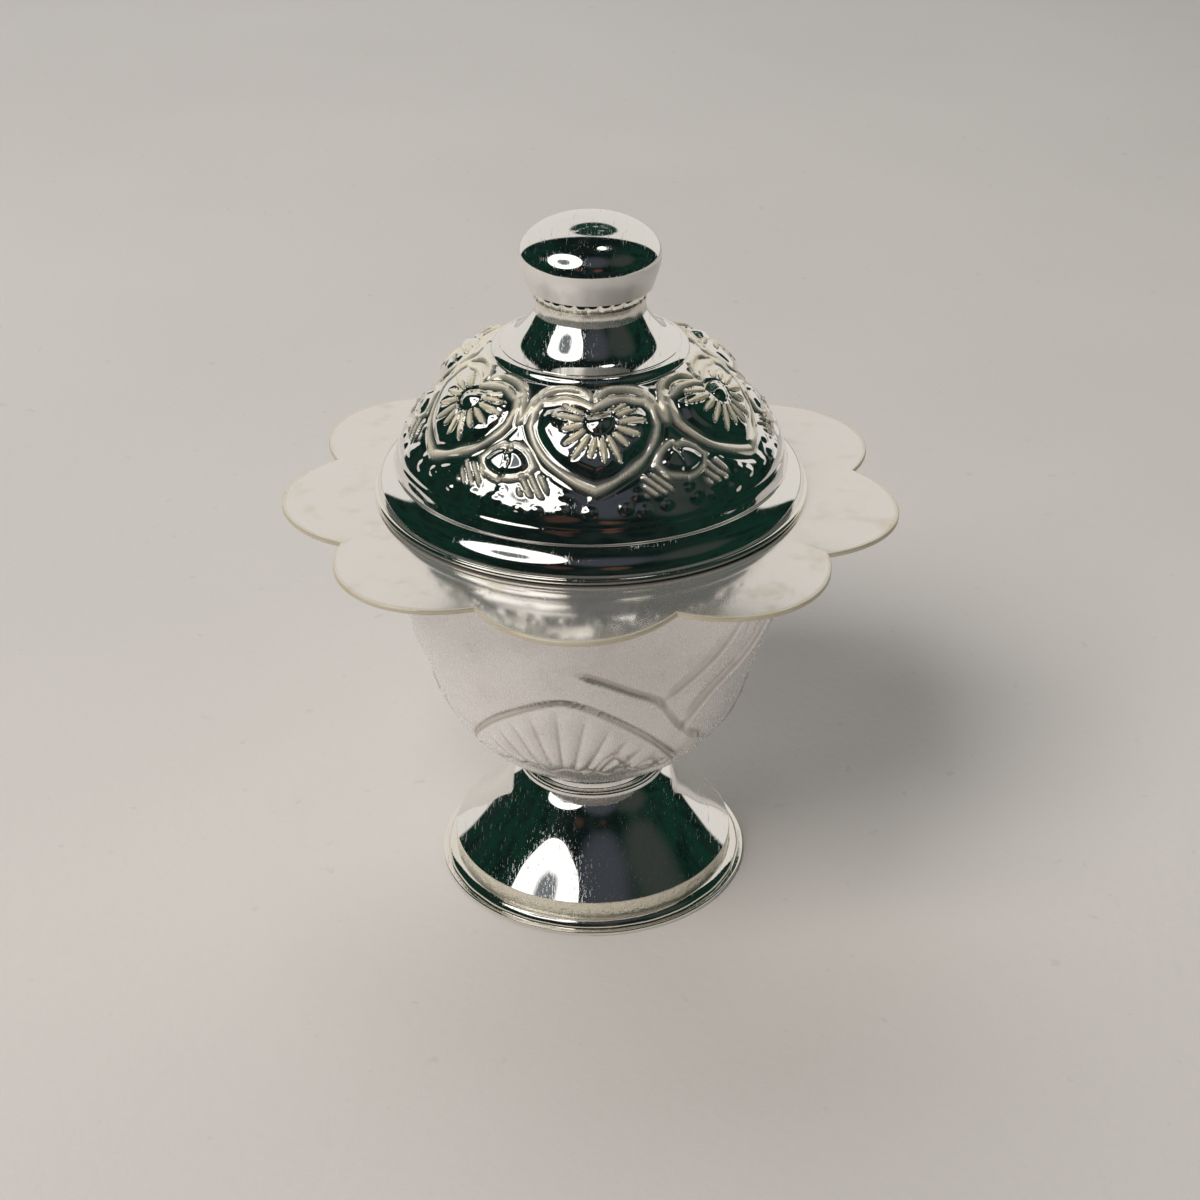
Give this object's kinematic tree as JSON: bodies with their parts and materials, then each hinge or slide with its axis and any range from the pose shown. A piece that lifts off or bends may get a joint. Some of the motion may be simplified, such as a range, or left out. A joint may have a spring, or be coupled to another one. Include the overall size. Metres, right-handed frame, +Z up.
{
  "type": "kumkum box",
  "caption": "Small footed box with a petal-edged flange, an embossed bowl and a lift-off domed lid with a mushroom knob, for holding kumkum powder.",
  "frame": {"origin": "centre of the foot's underside, on the table, on the axis of the turned foot, bowl and lid", "axes": "+Z up along the common axis, towards the knob. -Y is the front, along the middle of one petal of the flange. +X is to the right seen from the front."},
  "size_m": [0.0594, 0.0587, 0.07],
  "materials": {
    "polished": "polished silver",
    "lid": "polished silver with tarnish in the recesses",
    "foot_rim": "polished silver, slightly yellowed",
    "solder_band": "matt, yellowed silver solder",
    "satin_bowl": "whitened satin silver",
    "flange": "finely scratched silver sheet",
    "satin_ring": "satin silver"
  },
  "bodies": {
    "base": {"foot_edge_plate": "foot_rim", "foot_bead_ring": "foot_rim", "foot_ledge_band": "solder_band", "foot_cone": "polished", "stem_ring": "polished", "bowl_shell": "satin_bowl", "petal_flange": "flange", "rim_collar": "polished"},
    "lid": {"lid_dome": "lid", "lid_edge_wire": "polished", "lid_sleeve": "polished", "knob_neck": "polished", "knob_neck_ring": "satin_ring", "knob_crimp_ring": "solder_band", "knob_cup": "polished", "knob_cap": "polished"}
  },
  "joints": [
    {"name": "lid_lift", "type": "slide", "parent": "base", "child": "lid", "axis": [0, 0, 1], "range_m": [0, 0.04]}
  ]
}
